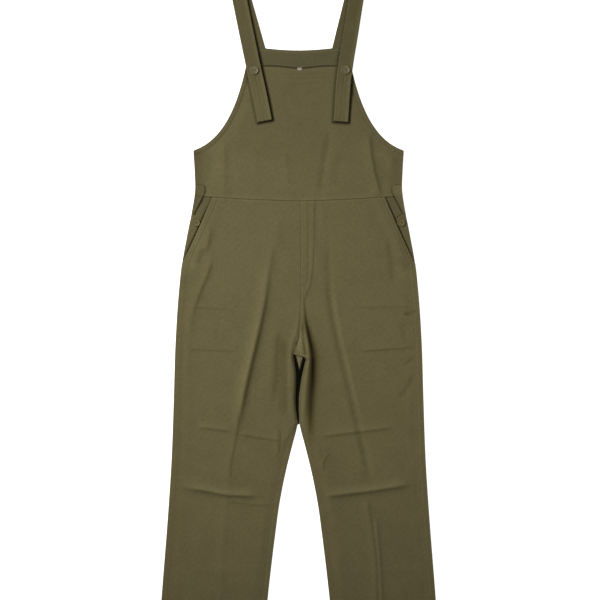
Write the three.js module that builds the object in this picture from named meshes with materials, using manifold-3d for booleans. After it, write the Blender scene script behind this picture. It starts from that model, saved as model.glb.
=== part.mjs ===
// Wide-leg overalls, lying face up: +X to the right, +Y towards the shoulders, +Z up from the surface.
// The origin is under the middle of the garment's box. Lengths are in millimetres.
import * as THREE from "three";
import { mergeVertices } from "three/addons/utils/BufferGeometryUtils.js";
import Module from "manifold-3d";

const wasm = await Module();
wasm.setup();

// ---- Driving dimensions ----
const wall = 1.2; // panel of twill
const gap = 0.3; // between pieces
const frontRest = wall + gap; // underside of a front panel that lies on the back
const hemY = -789.8; // leg hems
const crotchY = -118; // end of the centre front seam
const legsPartY = -268; // the inner legs touch down to here
const seamX = 4.4; // centre front and back seams
const bibTopY = 510.8;
const bibTopDip = 5.2;
const bibTopHalf = 116;
const backTopY = 552.2;
const backTopSag = 5.3;
const backTopHalf = 107;
const waistY = 215.6;
const waistRise = 11; // the waist seam is this much higher at the sides
const waistHalf = 228;
const chestY = 327;
const chestHalf = 231.6;
const facingLowY = 514.6; // lower edge of the back neck facing
const facingLowDip = 5.5;
const pocketTuck = 12; // the pocket facing goes this far behind the mouth
const pocketEndY = 66;
const legLoft = 4; // how high a front leg arches over the back
const bibLoft = 2.6;
const strapWidth = 32.4;
const strapThick = 2.2;
const strapTurn = 1.9; // middle radius of the fold at the shoulder
const strapClear = 2.2; // strap above the bib
const tabClear = 0.8; // side tab above the front
const strapButton = { radius: 10, thick: 3, rim: 1.8, dish: 0.9, hole: 1.1, spread: 1.7 };
const sideButton = { radius: 9, thick: 2.6, rim: 1.6, dish: 0.8, hole: 1, spread: 1.6 };
const sideButtonAt = { x: 225.4, y: 168 };
const label = { x: 2.5, width: 10.4, drop: 6.6, corner: 4, thick: 0.8 };

const colours = { twill: 0x69613f, shade: 0x595136, button: 0x5d5638, label: 0xa4a193 };

// ---- Outlines: half widths at heights up the garment ----
const sideRows = [
  { y: -790, x: 311.8 },
  { y: -618, x: 298.5 },
  { y: -486, x: 288.1 },
  { y: -354, x: 279.5 },
  { y: -222, x: 274.7 },
  { y: -90, x: 270.5 },
  { y: 9, x: 264 },
  { y: 75, x: 256.9 },
  { y: 141, x: 245.2 },
  { y: 207, x: 232.2 },
  { y: 240, x: 227.7 },
  { y: 273, x: 228.5 },
  { y: 327, x: 231.6 },
];
const inseamRows = [
  { y: -790, x: 81 },
  { y: -618, x: 63.5 },
  { y: -519, x: 51.5 },
  { y: -453, x: 42.5 },
  { y: -387, x: 29.8 },
  { y: -321, x: 13.6 },
  { y: -288, x: 4.8 },
  { y: -268, x: 0.5 },
];
// Where the two legs part below the centre seam, each leg's inner edge.
const crotchRows = [
  { y: -268, left: -2.6, right: 1.2 },
  { y: -234, left: -6, right: 0.4 },
  { y: -212, left: -6.3, right: 1.1 },
  { y: -190, left: -5.2, right: 4 },
  { y: -170, left: -5, right: 7 },
  { y: -145, left: -7.8, right: 12.8 },
  { y: -129, left: -10.4, right: 15 },
  { y: -118, left: 4.2, right: 4.6 },
];
const mouthRows = [
  { y: 80, x: 254.5 },
  { y: 107, x: 242 },
  { y: 146, x: 223.6 },
  { y: 177, x: 210 },
  { y: 228, x: 187.6 },
];

// The largest folds of the front: a ridge from one point to another, its half width and height.
const folds = [
  { name: "left thigh", x1: -58, y1: 64, x2: -140, y2: -321, half: 26, high: 3.4 },
  { name: "right crease", x1: 66, y1: 20, x2: 159, y2: -422, half: 20, high: 3 },
  { name: "right shin", x1: 159, y1: -422, x2: 190, y2: -700, half: 22, high: 2.4 },
  { name: "crotch roll", x1: 18, y1: -96, x2: 17, y2: -252, half: 10, high: 6.5 },
  { name: "left crotch", x1: -22, y1: -80, x2: -50, y2: -240, half: 18, high: 3 },
  { name: "left knee", x1: -262, y1: -418, x2: -92, y2: -438, half: 22, high: 2.6 },
  { name: "right knee", x1: 54, y1: -436, x2: 252, y2: -411, half: 22, high: 2.6 },
  { name: "bib side", x1: 160, y1: 372, x2: 180, y2: 236, half: 20, high: 1.6 },
];

const { lerp, smoothstep, degToRad } = THREE.MathUtils;

// A smooth function of y through the rows of a table.
function through(rows, column) {
  const heights = rows.map((row) => row.y);
  const values = rows.map((row) => row[column]);
  const curve = new THREE.CubicInterpolant(heights, values, 1, [0]);
  return (y) => curve.evaluate(THREE.MathUtils.clamp(y, heights[0], heights.at(-1)))[0];
}

const side = through(sideRows, "x");
const inseam = through(inseamRows, "x");
const mouth = through(mouthRows, "x");
const crotch = { left: through(crotchRows, "left"), right: through(crotchRows, "right") };

const waist = (x) => waistY + waistRise * (Math.abs(x) / waistHalf) ** 1.5;
// The dip of the neck edges towards the label.
const neckDip = (x) => Math.exp(-(((x - 2.5) / 36) ** 2));
const bibTop = (x) => bibTopY - bibTopDip * neckDip(x);
const facingLow = (x) => facingLowY - facingLowDip * neckDip(x);
const backTop = (x) => backTopY - backTopSag * Math.max(0, Math.cos((x * Math.PI) / 2 / 80));

// An armhole from the bib's top corner down to the side, as a Bezier curve sampled by height.
function armhole(topHalf, topY, inset) {
  const curve = new THREE.CubicBezierCurve(
    new THREE.Vector2(topHalf, topY),
    new THREE.Vector2(132 - inset, 438),
    new THREE.Vector2(161 - inset, 349),
    new THREE.Vector2(chestHalf - inset, chestY),
  );
  const points = curve.getPoints(40).reverse();
  const heights = points.map((p) => p.y);
  const widths = points.map((p) => p.x);
  const byHeight = new THREE.LinearInterpolant(heights, widths, 1, [0]);
  return { points, at: (y) => (y <= chestY ? side(y) - inset : byHeight.evaluate(y)[0]) };
}
const frontArm = armhole(bibTopHalf, bibTopY, 0);
const backArm = armhole(backTopHalf, backTopY, 2.5);

// Inner edge of a leg: the centre seam, then the gap at the crotch, then the inseam.
function innerEdge(sign, y) {
  if (y > crotchY) return seamX + (sign * gap) / 2;
  if (y > legsPartY) return crotch[sign < 0 ? "left" : "right"](y);
  return sign * inseam(y);
}

// ---- Height of the front ----
function edgeDistance(x, y) {
  const across = Math.abs(x);
  if (y < chestY - 60) return side(y) - across;
  const nearest = frontArm.points.map((p) => Math.hypot(p.x - across, p.y - y));
  return Math.min(...nearest, side(y) + 60 - Math.min(60, chestY - y) - across);
}

function foldHeight(x, y) {
  let height = 0;
  for (const fold of folds) {
    const along = new THREE.Vector2(fold.x2 - fold.x1, fold.y2 - fold.y1);
    const from = new THREE.Vector2(x - fold.x1, y - fold.y1);
    const length = along.length();
    const t = from.dot(along) / length ** 2;
    if (t <= 0 || t >= 1) continue;
    const off = Math.abs(from.cross(along)) / length;
    height += fold.high * Math.sin(Math.PI * t) ** 0.6 * Math.exp(-((off / fold.half) ** 2));
  }
  return height;
}

// 1 over the pocket facing, fading out beside it.
function pocketLift(x, y) {
  const beyond = Math.abs(x) - (mouth(y) - pocketTuck);
  const fade = smoothstep(y, pocketEndY - 40, pocketEndY - 6) * (1 - smoothstep(y, 232, 262));
  return smoothstep(beyond, -30, -4) * fade;
}

// Underside of the front's panels.
function frontUnder(x, y) {
  const sign = x < seamX ? -1 : 1;
  const parted = 1 - smoothstep(y, crotchY - 20, crotchY + 25);
  const inner = smoothstep(sign * (x - innerEdge(sign, y)), 0, y < legsPartY ? 32 : 14);
  const outer = smoothstep(edgeDistance(x, y), 0, 34);
  const rise = outer * lerp(1, inner, parted);
  const loft = lerp(legLoft, bibLoft, smoothstep(y, 150, 300));
  const top = 1 - 0.6 * smoothstep(y, bibTopY - 60, bibTopY);
  return frontRest + (wall - 0.1 + gap) * pocketLift(x, y) + rise * (loft * top + foldHeight(x, y));
}
const frontTop = (x, y) => frontUnder(x, y) + wall;

// ---- Solids ----
function material(colour, roughness = 0.9) {
  return new THREE.MeshStandardMaterial({ color: colour, roughness, metalness: 0 });
}

// A closed sheet: point(u, v) gives x and y, under(x, y) gives the underside's height.
function sheet({ columns, rows, point, under, thick = wall }) {
  const positions = [];
  const faces = [];
  const stride = columns.length;
  const layer = stride * rows.length;
  for (const raise of [thick, 0])
    for (const v of rows)
      for (const u of columns) {
        const { x, y } = point(u, v);
        positions.push(x, y, under(x, y) + raise);
      }
  const quad = (a, b, c, d) => faces.push(a, b, c, a, c, d);
  for (let r = 0; r < rows.length - 1; r++)
    for (let c = 0; c < stride - 1; c++) {
      const a = r * stride + c;
      quad(a, a + stride, a + stride + 1, a + 1);
      quad(layer + a, layer + a + 1, layer + a + stride + 1, layer + a + stride);
    }
  const rim = [];
  for (let c = 0; c < stride - 1; c++) rim.push(c);
  for (let r = 0; r < rows.length - 1; r++) rim.push(r * stride + stride - 1);
  for (let c = stride - 1; c > 0; c--) rim.push((rows.length - 1) * stride + c);
  for (let r = rows.length - 1; r > 0; r--) rim.push(r * stride);
  rim.forEach((a, i) => {
    const b = rim[(i + 1) % rim.length];
    quad(a, b, layer + b, layer + a);
  });
  const geometry = new THREE.BufferGeometry();
  geometry.setAttribute("position", new THREE.Float32BufferAttribute(positions, 3));
  geometry.setIndex(faces);
  return geometry;
}

const steps = (count) => Array.from({ length: count + 1 }, (_, i) => i / count);

// A panel between two edges given as functions of y, and a top and bottom given as functions of x.
function panel({ left, right, top, bottom, columns, rows, under, thick }) {
  const point = (u, v) => {
    let y = lerp(top(0), bottom(0), v);
    let x = lerp(left(y), right(y), u);
    for (let turn = 0; turn < 4; turn++) {
      y = lerp(top(x), bottom(x), v);
      x = lerp(left(y), right(y), u);
    }
    return { x, y };
  };
  return sheet({ columns, rows, point, under, thick });
}

const group = new THREE.Group();
function add(name, geometry, look) {
  geometry.computeVertexNormals();
  const mesh = new THREE.Mesh(geometry, look);
  mesh.name = name;
  group.add(mesh);
  return mesh;
}

const sides = [
  { name: "left", sign: -1 },
  { name: "right", sign: 1 },
];
const flat = () => 0;

// Rows down a leg, closer together at the crotch.
const legStretches = [
  { from: 0, to: 0.285, count: 7 },
  { from: 0.285, to: 0.5, count: 12 },
  { from: 0.5, to: 1, count: 13 },
];
const legRows = [0];
for (const { from, to, count } of legStretches)
  for (const t of steps(count).slice(1)) legRows.push(lerp(from, to, t));

// Rows down a bib, closer together where the armholes turn out to the sides.
const chestRow = 0.647; // share of the bib's height above the armholes' ends
const bibRows = [
  ...steps(13).map((t) => chestRow * (1 - (1 - t) ** 1.5)),
  ...steps(5)
    .slice(1)
    .map((t) => lerp(chestRow, 1, t)),
];

// Back: two legs and a bib, flat on the surface.
for (const { name, sign } of sides) {
  const inner = (y) => (y > legsPartY ? seamX + (sign * gap) / 2 : sign * (inseam(y) + 0.6));
  const outer = (y) => sign * (side(y) - 0.6);
  add(
    `back_leg_${name}`,
    panel({
      left: sign < 0 ? outer : inner,
      right: sign < 0 ? inner : outer,
      top: (x) => waist(x) - gap / 2,
      bottom: () => hemY + 2,
      columns: steps(3),
      rows: legRows,
      under: flat,
    }),
    material(colours.shade),
  );
}
add(
  "back_bib",
  panel({
    left: (y) => -backArm.at(y),
    right: (y) => backArm.at(y),
    top: backTop,
    bottom: (x) => waist(x) + gap / 2,
    columns: steps(8),
    rows: bibRows,
    under: flat,
  }),
  material(colours.shade),
);
add(
  "back_facing",
  panel({
    left: (y) => -backArm.at(y) + 1,
    right: (y) => backArm.at(y) - 1,
    top: (x) => backTop(x) - 0.6,
    bottom: facingLow,
    columns: steps(10),
    rows: steps(2),
    under: () => wall + gap,
    thick: 1,
  }),
  material(colours.shade),
);

// Front: the bib and the legs, which are cut away along the pocket mouths.
add(
  "front_bib",
  panel({
    left: (y) => -frontArm.at(y),
    right: (y) => frontArm.at(y),
    top: bibTop,
    bottom: (x) => waist(x) + gap / 2,
    columns: steps(16),
    rows: bibRows,
    under: frontUnder,
  }),
  material(colours.twill),
);
for (const { name, sign } of sides) {
  const outer = (y) => sign * (y > mouthRows[0].y ? Math.min(mouth(y), side(y)) : side(y));
  const inner = (y) => innerEdge(sign, y);
  const crowded = steps(13).map((u) => (sign < 0 ? 1 - (1 - u) ** 1.5 : u ** 1.5));
  add(
    `front_leg_${name}`,
    panel({
      left: sign < 0 ? outer : inner,
      right: sign < 0 ? inner : outer,
      top: (x) => waist(x) - gap / 2,
      bottom: () => hemY,
      columns: crowded,
      rows: legRows,
      under: frontUnder,
    }),
    material(colours.twill),
  );
}

// The round-cornered tab at each side: its inner edge as a function of y.
const tab = { topY: 252, inner: 205, corner: 9, turnY: 234.3, tipY: 187, tipHalf: 229.5 };
function tabEdge(y) {
  if (y < tab.turnY) return lerp(tab.inner, tab.tipHalf, (tab.turnY - y) / (tab.turnY - tab.tipY));
  const up = y - (tab.topY - tab.corner);
  if (up <= 0) return tab.inner;
  return tab.inner + tab.corner - Math.sqrt(Math.max(0, tab.corner ** 2 - up ** 2));
}

// The pieces at the pockets and the side openings.
// The placket's lower end slants from its middle at slantX.
const placket = { endY: 184, slant: 0.75, slantX: 222, clear: 0.6, thick: 1 };
const facingTop = frontRest + 1;
for (const { name, sign } of sides) {
  const between = (innerHalf, outerHalf) => ({
    left: (y) => (sign < 0 ? -outerHalf(y) : innerHalf(y)),
    right: (y) => (sign < 0 ? -innerHalf(y) : outerHalf(y)),
  });
  add(
    `pocket_facing_${name}`,
    panel({
      ...between((y) => mouth(y) - pocketTuck, (y) => side(y) - gap),
      top: (x) => waist(x) - gap / 2,
      bottom: () => pocketEndY,
      columns: steps(4),
      rows: steps(14),
      under: () => frontRest,
      thick: 1,
    }),
    material(colours.twill),
  );
  add(
    `side_placket_${name}`,
    panel({
      ...between((y) => mouth(y) + placket.clear, (y) => tabEdge(y) - placket.clear),
      top: (x) => waist(x) - gap,
      bottom: (x) => placket.endY + placket.slant * (Math.abs(x) - placket.slantX),
      columns: steps(4),
      rows: steps(6),
      under: () => facingTop + gap,
      thick: placket.thick,
    }),
    material(colours.twill),
  );
  add(
    `side_tab_${name}`,
    panel({
      ...between(tabEdge, (y) => side(y) - 0.4),
      top: () => tab.topY,
      bottom: () => tab.tipY,
      columns: steps(4),
      rows: [0, 0.01, 0.03, 0.06, 0.09, 0.13, 0.25, 0.4, 0.55, 0.7, 0.85, 1],
      under: (x, y) => frontTop(x, y) + tabClear,
    }),
    material(colours.twill),
  );
}

// ---- Straps: one strip each, up the back, over the fold and down to the tail on the bib ----
// Middle of the strip at stations up the front, then the back end at the back bib's top edge.
const strapRows = {
  left: [
    { y: 391, x: -74.2 },
    { y: 438, x: -83.4 },
    { y: 512, x: -99.4 },
    { y: 658, x: -129.5 },
    { y: 783.5, x: -155 },
  ],
  right: [
    { y: 389.6, x: 92.8 },
    { y: 497, x: 101.2 },
    { y: 526, x: 105.4 },
    { y: 570, x: 112.8 },
    { y: 658, x: 126.7 },
    { y: 783.5, x: 147.4 },
  ],
};
const strapBackEnd = { left: -89.5, right: 90.2, y: backTopY + 0.4 };

// The strip's underside over the bib follows the bib's top face.
function strapUnder(x, y) {
  const overFold = strapTurn * 2;
  const beside = [-0.5, -0.25, 0, 0.25, 0.5].map((k) => frontTop(x + k * strapWidth, Math.min(y, bibTopY)));
  const onBib = Math.max(...beside) + strapClear;
  return lerp(Math.max(onBib, overFold), overFold, smoothstep(y, bibTopY + 4, bibTopY + 90));
}

// A strip swept through stations, each with its middle, its direction across and its normal.
function strip(stations, width, thick) {
  const positions = [];
  const faces = [];
  for (const { middle, across, normal } of stations)
    for (const [a, n] of [
      [-0.5, 0.5],
      [0, 0.5],
      [0.5, 0.5],
      [0.5, -0.5],
      [0, -0.5],
      [-0.5, -0.5],
    ]) {
      const p = middle.clone().addScaledVector(across, a * width).addScaledVector(normal, n * thick);
      positions.push(p.x, p.y, p.z);
    }
  const ring = 6;
  for (let s = 0; s < stations.length - 1; s++)
    for (let k = 0; k < ring; k++) {
      const a = s * ring + k;
      const b = s * ring + ((k + 1) % ring);
      faces.push(a, b, b + ring, a, b + ring, a + ring);
    }
  const last = (stations.length - 1) * ring;
  for (const [a, b, c] of [
    [0, 5, 4],
    [0, 4, 1],
    [1, 4, 3],
    [1, 3, 2],
  ]) {
    faces.push(a, b, c);
    faces.push(last + a, last + c, last + b);
  }
  const geometry = new THREE.BufferGeometry();
  geometry.setAttribute("position", new THREE.Float32BufferAttribute(positions, 3));
  geometry.setIndex(faces);
  return geometry;
}

for (const { name, sign } of sides) {
  const rows = strapRows[name];
  const middleX = through(rows, "x");
  const topRow = rows.at(-1);
  const backX = (y) => lerp(strapBackEnd[name], topRow.x, (y - strapBackEnd.y) / (topRow.y - strapBackEnd.y));
  const places = [];
  for (const t of steps(18)) {
    const y = lerp(rows[0].y, topRow.y, t);
    places.push({ x: middleX(y), y, z: strapUnder(middleX(y), y) + strapThick / 2 });
  }
  const foldLean = Math.atan2(topRow.x - middleX(topRow.y - 60), 60);
  for (const turn of [30, 60, 90, 120, 150]) {
    const angle = degToRad(turn);
    const out = strapTurn * Math.sin(angle);
    const z = strapThick / 2 + strapTurn * (1 + Math.cos(angle));
    places.push({ x: topRow.x + out * Math.sin(foldLean), y: topRow.y + out * Math.cos(foldLean), z });
  }
  for (const t of steps(6)) {
    const y = lerp(topRow.y, strapBackEnd.y, t);
    places.push({ x: backX(y), y, z: strapThick / 2 });
  }
  const points = places.map((p) => new THREE.Vector3(p.x, p.y, p.z));
  const frontAcross = new THREE.Vector3(Math.cos(foldLean), -Math.sin(foldLean), 0);
  const stations = points.map((middle, i) => {
    const before = points[Math.max(0, i - 1)];
    const after = points[Math.min(points.length - 1, i + 1)];
    const along = after.clone().sub(before);
    const onFold = Math.abs(along.y) < 8;
    const flatAlong = new THREE.Vector3(along.x, along.y, 0).normalize();
    const turned = along.y > 0 ? 1 : -1;
    let across = new THREE.Vector3(flatAlong.y, -flatAlong.x, 0).multiplyScalar(turned);
    if (onFold) across = frontAcross.clone();
    // The back end is cut along the bib's top edge.
    if (i === points.length - 1) across = new THREE.Vector3(1 / Math.abs(flatAlong.y), 0, 0);
    const normal = across.clone().cross(along).normalize();
    return { middle, across, normal };
  });
  add(`strap_${name}`, strip(stations, strapWidth, strapThick), material(colours.twill));
}

// ---- Buttons and label ----
function solidOf(geometry) {
  const bare = geometry.clone();
  bare.deleteAttribute("normal");
  bare.deleteAttribute("uv");
  const merged = mergeVertices(bare, 1e-4);
  return new wasm.Manifold(
    new wasm.Mesh({
      numProp: 3,
      vertProperties: merged.attributes.position.array,
      triVerts: new Uint32Array(merged.index.array),
    }),
  );
}

function geometryOf(solid) {
  const { vertProperties, triVerts } = solid.getMesh();
  const geometry = new THREE.BufferGeometry();
  geometry.setAttribute("position", new THREE.BufferAttribute(vertProperties, 3));
  geometry.setIndex(new THREE.BufferAttribute(triVerts, 1));
  return geometry;
}

// A dished button with two holes, its flat back at z = 0.
function button({ radius, thick, rim, dish, hole, spread }) {
  const profile = [
    new THREE.Vector2(0, 0),
    new THREE.Vector2(radius - 1.2, 0),
    new THREE.Vector2(radius, thick * 0.45),
    new THREE.Vector2(radius - 0.5, thick * 0.85),
    new THREE.Vector2(radius - rim * 0.6, thick),
    new THREE.Vector2(radius - rim, thick * 0.9),
    new THREE.Vector2(radius - rim * 1.6, thick - dish),
    new THREE.Vector2(0, thick - dish),
  ];
  const body = new THREE.LatheGeometry(profile, 20).rotateX(Math.PI / 2);
  let solid = solidOf(body);
  for (const way of [-1, 1]) {
    const drill = new THREE.CylinderGeometry(hole, hole, thick * 3, 10).rotateX(Math.PI / 2);
    solid = solid.subtract(solidOf(drill.translate(way * spread, 0, 0)));
  }
  return geometryOf(solid);
}

for (const { name, sign } of sides) {
  const y = name === "left" ? 502.3 : 503.4;
  const x = name === "left" ? -97.7 : 103;
  const z = strapUnder(x, y) + strapThick + 0.5;
  add(`strap_button_${name}`, button(strapButton), material(colours.button, 0.45)).position.set(x, y, z);
  const low = add(`side_button_${name}`, button(sideButton), material(colours.button, 0.45));
  low.position.set(sign * sideButtonAt.x, sideButtonAt.y, facingTop + gap);
}

const tag = new THREE.Shape();
tag.moveTo(-label.width / 2, label.drop);
tag.lineTo(-label.width / 2, label.corner);
tag.absarc(-label.width / 2 + label.corner, label.corner, label.corner, Math.PI, 1.5 * Math.PI);
tag.absarc(label.width / 2 - label.corner, label.corner, label.corner, 1.5 * Math.PI, 2 * Math.PI);
tag.lineTo(label.width / 2, label.drop);
const tagSolid = new THREE.ExtrudeGeometry(tag, { depth: label.thick, bevelEnabled: false, curveSegments: 4 });
const labelMesh = add("neck_label", geometryOf(solidOf(tagSolid)), material(colours.label, 0.8));
labelMesh.position.set(label.x, facingLow(label.x) - gap - label.drop, frontRest);

export default group;
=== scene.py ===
import math

import bpy
import mathutils
import numpy as np
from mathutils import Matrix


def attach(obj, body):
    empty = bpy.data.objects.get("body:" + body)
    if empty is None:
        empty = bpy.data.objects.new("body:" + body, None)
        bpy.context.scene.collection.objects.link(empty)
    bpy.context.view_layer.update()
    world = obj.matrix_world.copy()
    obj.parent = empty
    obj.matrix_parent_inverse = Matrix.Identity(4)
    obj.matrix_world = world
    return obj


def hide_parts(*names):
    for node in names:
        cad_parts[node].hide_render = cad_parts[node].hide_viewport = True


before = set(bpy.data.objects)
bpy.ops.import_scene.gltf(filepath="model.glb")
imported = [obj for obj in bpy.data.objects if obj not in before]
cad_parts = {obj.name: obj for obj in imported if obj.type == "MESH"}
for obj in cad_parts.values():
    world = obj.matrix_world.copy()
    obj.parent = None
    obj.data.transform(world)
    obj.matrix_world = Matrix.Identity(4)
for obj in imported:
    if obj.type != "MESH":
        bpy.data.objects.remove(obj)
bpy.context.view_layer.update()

scene = bpy.context.scene
mm = 0.001  # lengths in the tables are millimetres, and the meshes are built in metres
sides = {"left": -1, "right": 1}  # as seen with the garment face up

# The cut of the garment. A row of sides, inseam or mouth is a height and a half width, and one of a crotch
# edge, or of the seam in which both end, a height and its place.
cut = {
    "hemY": -789.8, "seamY": 35, "gapTopY": -122, "legsPartY": -268, "seamX": 4.4, "seamGap": 0.3,
    "waistY": 215.6, "waistRise": 11, "waistHalf": 228, "chestY": 327, "chestHalf": 231.6,
    "bibTopY": 510.8, "bibTopDip": 5.2, "bibTopHalf": 116, "armhole": [(132, 438), (161, 349)],
    "backTopY": 552.2, "backTopSag": 5.3, "backTopHalf": 107, "backInset": 2.5,
    "facingLowY": 514.6, "facingLowDip": 5.5, "neckDip": (2.5, 36),
    "sides": [
        (-790, 311.8), (-618, 298.5), (-486, 288.1), (-354, 279.5), (-222, 274.7), (-90, 270.5),
        (9, 264), (75, 256.9), (141, 245.2), (207, 232.2), (240, 227.7), (273, 228.5), (327, 231.6),
    ],
    "inseam": [
        (-790, 81), (-618, 63.5), (-519, 51.5), (-453, 42.5),
        (-387, 29.8), (-321, 13.6), (-288, 4.8), (-268, 0.5),
    ],
    "crotchLeft": [
        (-268, -2.6), (-256, -3.6), (-234, -6), (-212, -6.3), (-190, -5.2), (-170, -5), (-153, -6.6),
        (-140, -8.6), (-129, -10.4), (-120, -11),
    ],
    "crotchRight": [
        (-268, 1.2), (-234, 0.4), (-212, 1.1), (-190, 4), (-170, 7), (-153, 11), (-140, 13.9), (-132, 15),
        (-128, 10), (-125, 0), (-122, -10.3), (-118.5, -10.5),
    ],
    "crotchSeam": [
        (-109, -7.95), (-102, -4.85), (-96, -2.55), (-85, -0.35), (-65, 1.05), (-45, 2.35), (-25, 3.25),
        (-5, 3.95), (15, 4.35), (35, 4.4),
    ],
    "mouth": [(80, 254.5), (107, 242), (146, 223.6), (177, 210), (228, 187.6)],
}


def smoothstep(low, high, value):
    t = np.clip((value - low) / (high - low), 0, 1)
    return t * t * (3 - 2 * t)


def mix(a, b, t):
    return a + (b - a) * t


# 1 at no distance, fading to nothing a few widths away.
def bell(distance, width):
    return np.exp(-((distance / width) ** 2))


def unit(vectors):
    return vectors / np.linalg.norm(vectors, axis=-1, keepdims=True)


# How far along a line of points each one is.
def runOf(points):
    return np.concatenate([[0], np.cumsum(np.linalg.norm(np.diff(points, axis=0), axis=1))])


# A smooth function through the rows of a table, flat beyond its ends.
def through(rows):
    ys, xs = (np.array(column, float) for column in zip(*rows))
    slopes = np.gradient(xs, ys)

    def at(y):
        y = np.clip(y, ys[0], ys[-1])
        k = np.clip(np.searchsorted(ys, y) - 1, 0, len(ys) - 2)
        step = ys[k + 1] - ys[k]
        return bent(xs[k], xs[k + 1], step * slopes[k], step * slopes[k + 1], (y - ys[k]) / step)

    return at


# From a to b with the slopes da and db at its ends.
def bent(a, b, da, db, t):
    return (
        a * (2 * t**3 - 3 * t**2 + 1) + b * (3 * t**2 - 2 * t**3)
        + da * (t**3 - 2 * t**2 + t) + db * (t**3 - t**2)
    )


# A path bent smoothly through its points.
def smoothPath(points, count=24):
    points = np.array(points, float)
    if len(points) == 2:
        return points
    slopes = np.gradient(points, axis=0)
    t = np.linspace(0, len(points) - 1, count)
    k = np.minimum(t.astype(int), len(points) - 2)
    return bent(points[k], points[k + 1], slopes[k], slopes[k + 1], (t - k)[:, None])


# Distance from a path, above zero on its left hand, and how far along it the nearest point is.
def fromPath(path, x, y):
    best = np.full(x.shape, 1e12)
    hand, share = np.ones(x.shape), np.zeros(x.shape)
    pieces = len(path) - 1
    for i in range(pieces):
        ax, ay = path[i]
        ux, uy = path[i + 1] - path[i]
        s = np.clip(((x - ax) * ux + (y - ay) * uy) / (ux * ux + uy * uy), 0, 1)
        dx, dy = x - ax - s * ux, y - ay - s * uy
        apart = dx * dx + dy * dy
        near = apart < best
        best = np.where(near, apart, best)
        hand = np.where(near, np.sign(ux * (y - ay) - uy * (x - ax)), hand)
        share = np.where(near, (i + s) / pieces, share)
    return hand * np.sqrt(best), share


sideHalf = through(cut["sides"])
inseamHalf = through(cut["inseam"])
mouthHalf = through(cut["mouth"])
crotchEdge = {
    sign: through(cut[name] + [(y, x + sign * cut["seamGap"] / 2) for y, x in cut["crotchSeam"]])
    for sign, name in ((-1, "crotchLeft"), (1, "crotchRight"))
}


def waistAt(x):
    return cut["waistY"] + cut["waistRise"] * (np.abs(x) / cut["waistHalf"]) ** 1.5


# The dip of the neck edges towards the label.
def neckDip(x):
    middle, width = cut["neckDip"]
    return bell(x - middle, width)


def bibTopAt(x):
    return cut["bibTopY"] - cut["bibTopDip"] * neckDip(x)


def facingLowAt(x):
    return cut["facingLowY"] - cut["facingLowDip"] * neckDip(x)


def backTopAt(x):
    return cut["backTopY"] - cut["backTopSag"] * np.maximum(0, np.cos(x * np.pi / 2 / 80))


# An armhole as a Bezier curve from a bib's top corner down to its side, and the half width that it gives.
def armhole(topHalf, topY, inset):
    t = np.linspace(1, 0, 60)[:, None]
    corners = np.array([(topHalf + inset, topY), *cut["armhole"], (cut["chestHalf"], cut["chestY"])])
    shares = np.hstack([(1 - t) ** 3, 3 * t * (1 - t) ** 2, 3 * t**2 * (1 - t), t**3])
    curve = shares @ (corners - (inset, 0))

    def half(y):
        return np.where(y <= cut["chestY"], sideHalf(y) - inset, np.interp(y, curve[:, 1], curve[:, 0]))

    return curve, half


armCurve, frontArm = armhole(cut["bibTopHalf"], cut["bibTopY"], 0)
_, backArm = armhole(cut["backTopHalf"], cut["backTopY"], cut["backInset"])


# A leg's inner edge: the centre seam, then the gap at the crotch, then the inseam.
def innerEdge(sign, y):
    edge = np.where(y > cut["legsPartY"], crotchEdge[sign](y), sign * inseamHalf(y))
    return np.where(y > cut["seamY"], cut["seamX"] + sign * cut["seamGap"] / 2, edge)


# A fold along a path. high is below zero for a trough, left and right are its spread on either hand when
# going along the path, ends how much of each end tapers, and the last a painted shade beside the fold: its
# darkness, its place and its width, a painted highlight where the darkness is below zero.
def crease(high, left, right, *path, ends=(0.22, 0.22), deep=None):
    return {"high": high, "left": left, "right": right, "line": smoothPath(path), "ends": ends, "deep": deep}
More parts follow.
